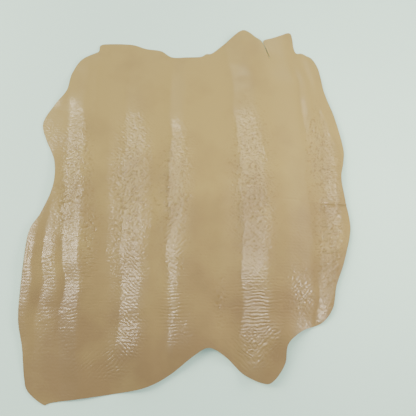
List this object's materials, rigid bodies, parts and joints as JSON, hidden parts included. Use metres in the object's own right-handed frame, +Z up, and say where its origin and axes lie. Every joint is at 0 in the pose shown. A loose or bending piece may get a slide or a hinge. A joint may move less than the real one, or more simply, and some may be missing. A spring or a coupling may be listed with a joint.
{
  "type": "piece of leather",
  "caption": "Whole glossy crinkled goatskin lying grain side up in soft lengthwise waves, with its irregular natural cut edge.",
  "frame": {"origin": "on the table the skin lies on, under the middle of its plan", "axes": "+Z up, out of the glossy grain side; +Y towards the neck end; +X to the right seen from the butt end"},
  "size_m": [0.6748, 0.8348, 0.0225],
  "materials": {
    "leather": "glossy clear-coated beige pigment over a crinkled grain"
  },
  "bodies": {
    "root": {"skin": "leather"}
  },
  "joints": []
}
